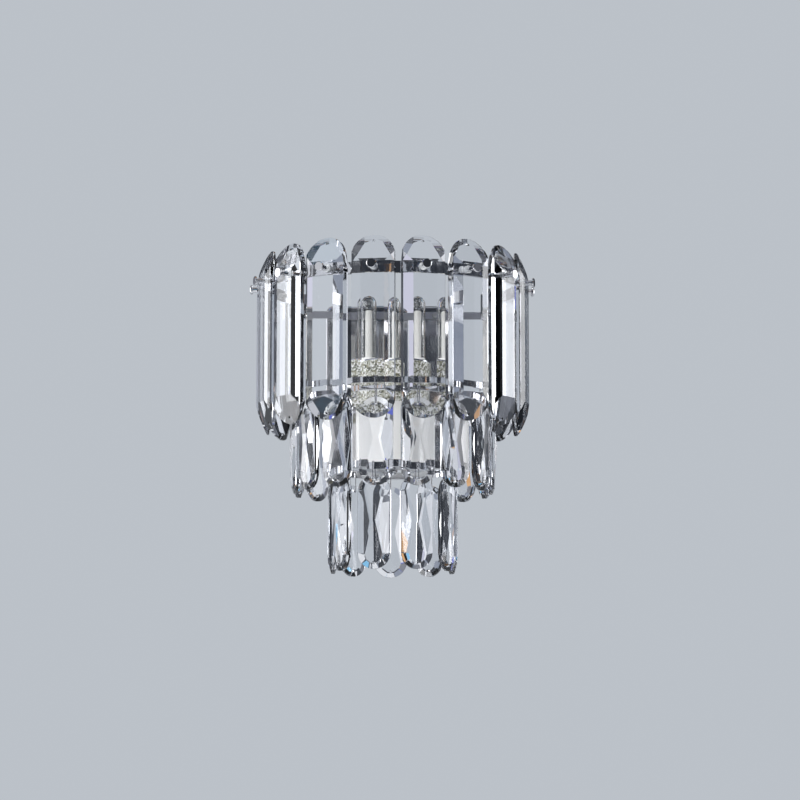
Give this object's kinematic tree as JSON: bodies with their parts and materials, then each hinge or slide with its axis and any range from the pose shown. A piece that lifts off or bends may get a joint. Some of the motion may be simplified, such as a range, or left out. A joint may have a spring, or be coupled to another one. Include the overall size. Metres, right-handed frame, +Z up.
{
  "type": "wall light",
  "caption": "Crystal wall light with a long bevelled top tier and two hanging tiers on polished rings round upright lamps.",
  "frame": {"origin": "middle of the wall bracket's back face, on the wall", "axes": "+Y into the wall, +Z up, the light stands out along -Y"},
  "size_m": [0.2552, 0.2105, 0.282],
  "materials": {
    "crystal": "clear cut crystal",
    "polished_metal": "polished chrome",
    "screw_metal": "polished chrome, black in reflection",
    "dark_metal": "dark polished metal",
    "plated_steel": "zinc plated",
    "wire": "plated wire",
    "clear_plastic": "clear plastic",
    "lamp_ceramic": "white glazed",
    "lamp_glass": "clear lamp glass",
    "terminal_plastic": "moulded",
    "wire_sleeve": "wire insulation"
  },
  "bodies": {
    "frame": {"top_crystal_01": "crystal", "top_crystal_02": "crystal", "top_crystal_03": "crystal", "top_crystal_04": "crystal", "top_crystal_05": "crystal", "top_crystal_06": "crystal", "top_crystal_07": "crystal", "top_crystal_08": "crystal", "top_crystal_09": "crystal", "top_crystal_10": "crystal", "top_crystal_11": "crystal", "top_crystal_12": "crystal", "top_ring": "polished_metal", "cross_bar": "dark_metal", "cross_bar_screws": "plated_steel", "ornament_screws": "screw_metal", "ring_washers": "clear_plastic", "ring_nuts": "plated_steel", "middle_ring": "polished_metal", "middle_loops": "wire", "lower_ring": "polished_metal", "lower_loops": "wire", "hub_drum": "polished_metal", "lamp_plate": "polished_metal", "lamp_holders": "lamp_ceramic", "centre_bolt": "plated_steel", "dome_nuts": "polished_metal", "back_plate": "polished_metal", "wall_bracket": "plated_steel", "support_arm": "polished_metal", "terminal_block": "terminal_plastic", "earth_screw": "plated_steel", "inner_wires": "wire_sleeve"},
    "middle_drop_01": {"middle_crystal_01": "crystal"},
    "middle_drop_02": {"middle_crystal_02": "crystal"},
    "middle_drop_03": {"middle_crystal_03": "crystal"},
    "middle_drop_04": {"middle_crystal_04": "crystal"},
    "middle_drop_05": {"middle_crystal_05": "crystal"},
    "middle_drop_06": {"middle_crystal_06": "crystal"},
    "middle_drop_07": {"middle_crystal_07": "crystal"},
    "middle_drop_08": {"middle_crystal_08": "crystal"},
    "middle_drop_09": {"middle_crystal_09": "crystal"},
    "middle_drop_10": {"middle_crystal_10": "crystal"},
    "middle_drop_11": {"middle_crystal_11": "crystal"},
    "middle_drop_12": {"middle_crystal_12": "crystal"},
    "lower_drop_01": {"lower_crystal_01": "crystal"},
    "lower_drop_02": {"lower_crystal_02": "crystal"},
    "lower_drop_03": {"lower_crystal_03": "crystal"},
    "lower_drop_04": {"lower_crystal_04": "crystal"},
    "lower_drop_05": {"lower_crystal_05": "crystal"},
    "lower_drop_06": {"lower_crystal_06": "crystal"},
    "lower_drop_07": {"lower_crystal_07": "crystal"},
    "lower_drop_08": {"lower_crystal_08": "crystal"},
    "lower_drop_09": {"lower_crystal_09": "crystal"},
    "lamp_left": {"lamp_left_base": "lamp_ceramic", "lamp_left_glass": "lamp_glass"},
    "lamp_middle": {"lamp_middle_base": "lamp_ceramic", "lamp_middle_glass": "lamp_glass"},
    "lamp_right": {"lamp_right_base": "lamp_ceramic", "lamp_right_glass": "lamp_glass"}
  },
  "joints": [
    {"name": "middle_swing_01", "type": "hinge", "parent": "frame", "child": "middle_drop_01", "pos_m": [-0.0663, -0.02767, -0.0304], "axis": [0.6475, 0.7621, 0], "range_deg": [-6, 12]},
    {"name": "middle_swing_02", "type": "hinge", "parent": "frame", "child": "middle_drop_02", "pos_m": [-0.08335, -0.05907, -0.0304], "axis": [0.2865, 0.9581, 0], "range_deg": [-6, 12]},
    {"name": "middle_swing_03", "type": "hinge", "parent": "frame", "child": "middle_drop_03", "pos_m": [-0.08634, -0.09468, -0.0304], "axis": [-0.1227, 0.9924, 0], "range_deg": [-6, 12]},
    {"name": "middle_swing_04", "type": "hinge", "parent": "frame", "child": "middle_drop_04", "pos_m": [-0.07477, -0.12848, -0.0304], "axis": [-0.5113, 0.8594, 0], "range_deg": [-6, 12]},
    {"name": "middle_swing_05", "type": "hinge", "parent": "frame", "child": "middle_drop_05", "pos_m": [-0.05058, -0.15478, -0.0304], "axis": [-0.8136, 0.5814, 0], "range_deg": [-6, 12]},
    {"name": "middle_swing_06", "type": "hinge", "parent": "frame", "child": "middle_drop_06", "pos_m": [-0.01786, -0.16915, -0.0304], "axis": [-0.9787, 0.2054, 0], "range_deg": [-6, 12]},
    {"name": "middle_swing_07", "type": "hinge", "parent": "frame", "child": "middle_drop_07", "pos_m": [0.01786, -0.16915, -0.0304], "axis": [-0.9787, -0.2054, 0], "range_deg": [-6, 12]},
    {"name": "middle_swing_08", "type": "hinge", "parent": "frame", "child": "middle_drop_08", "pos_m": [0.05058, -0.15478, -0.0304], "axis": [-0.8136, -0.5814, 0], "range_deg": [-6, 12]},
    {"name": "middle_swing_09", "type": "hinge", "parent": "frame", "child": "middle_drop_09", "pos_m": [0.07477, -0.12848, -0.0304], "axis": [-0.5113, -0.8594, 0], "range_deg": [-6, 12]},
    {"name": "middle_swing_10", "type": "hinge", "parent": "frame", "child": "middle_drop_10", "pos_m": [0.08634, -0.09468, -0.0304], "axis": [-0.1227, -0.9924, 0], "range_deg": [-6, 12]},
    {"name": "middle_swing_11", "type": "hinge", "parent": "frame", "child": "middle_drop_11", "pos_m": [0.08335, -0.05907, -0.0304], "axis": [0.2865, -0.9581, 0], "range_deg": [-6, 12]},
    {"name": "middle_swing_12", "type": "hinge", "parent": "frame", "child": "middle_drop_12", "pos_m": [0.0663, -0.02767, -0.0304], "axis": [0.6475, -0.7621, 0], "range_deg": [-6, 12]},
    {"name": "lower_swing_01", "type": "hinge", "parent": "frame", "child": "lower_drop_01", "pos_m": [-0.03439, -0.04302, -0.0994], "axis": [0.766, 0.6428, 0], "range_deg": [-6, 12]},
    {"name": "lower_swing_02", "type": "hinge", "parent": "frame", "child": "lower_drop_02", "pos_m": [-0.05269, -0.07471, -0.0994], "axis": [0.1736, 0.9848, 0], "range_deg": [-6, 12]},
    {"name": "lower_swing_03", "type": "hinge", "parent": "frame", "child": "lower_drop_03", "pos_m": [-0.04633, -0.11075, -0.0994], "axis": [-0.5, 0.866, 0], "range_deg": [-6, 12]},
    {"name": "lower_swing_04", "type": "hinge", "parent": "frame", "child": "lower_drop_04", "pos_m": [-0.0183, -0.13427, -0.0994], "axis": [-0.9397, 0.342, 0], "range_deg": [-6, 12]},
    {"name": "lower_swing_05", "type": "hinge", "parent": "frame", "child": "lower_drop_05", "pos_m": [0.0183, -0.13427, -0.0994], "axis": [-0.9397, -0.342, 0], "range_deg": [-6, 12]},
    {"name": "lower_swing_06", "type": "hinge", "parent": "frame", "child": "lower_drop_06", "pos_m": [0.04633, -0.11075, -0.0994], "axis": [-0.5, -0.866, 0], "range_deg": [-6, 12]},
    {"name": "lower_swing_07", "type": "hinge", "parent": "frame", "child": "lower_drop_07", "pos_m": [0.05269, -0.07471, -0.0994], "axis": [0.1736, -0.9848, 0], "range_deg": [-6, 12]},
    {"name": "lower_swing_08", "type": "hinge", "parent": "frame", "child": "lower_drop_08", "pos_m": [0.03439, -0.04302, -0.0994], "axis": [0.766, -0.6428, 0], "range_deg": [-6, 12]},
    {"name": "lower_swing_09", "type": "hinge", "parent": "frame", "child": "lower_drop_09", "pos_m": [0, -0.0305, -0.0994], "axis": [1, 0, 0], "range_deg": [-6, 12]},
    {"name": "lamp_left_pull", "type": "slide", "parent": "frame", "child": "lamp_left", "axis": [0, 0, 1], "range_m": [0, 0.016]},
    {"name": "lamp_middle_pull", "type": "slide", "parent": "frame", "child": "lamp_middle", "axis": [0, 0, 1], "range_m": [0, 0.016]},
    {"name": "lamp_right_pull", "type": "slide", "parent": "frame", "child": "lamp_right", "axis": [0, 0, 1], "range_m": [0, 0.016]}
  ]
}
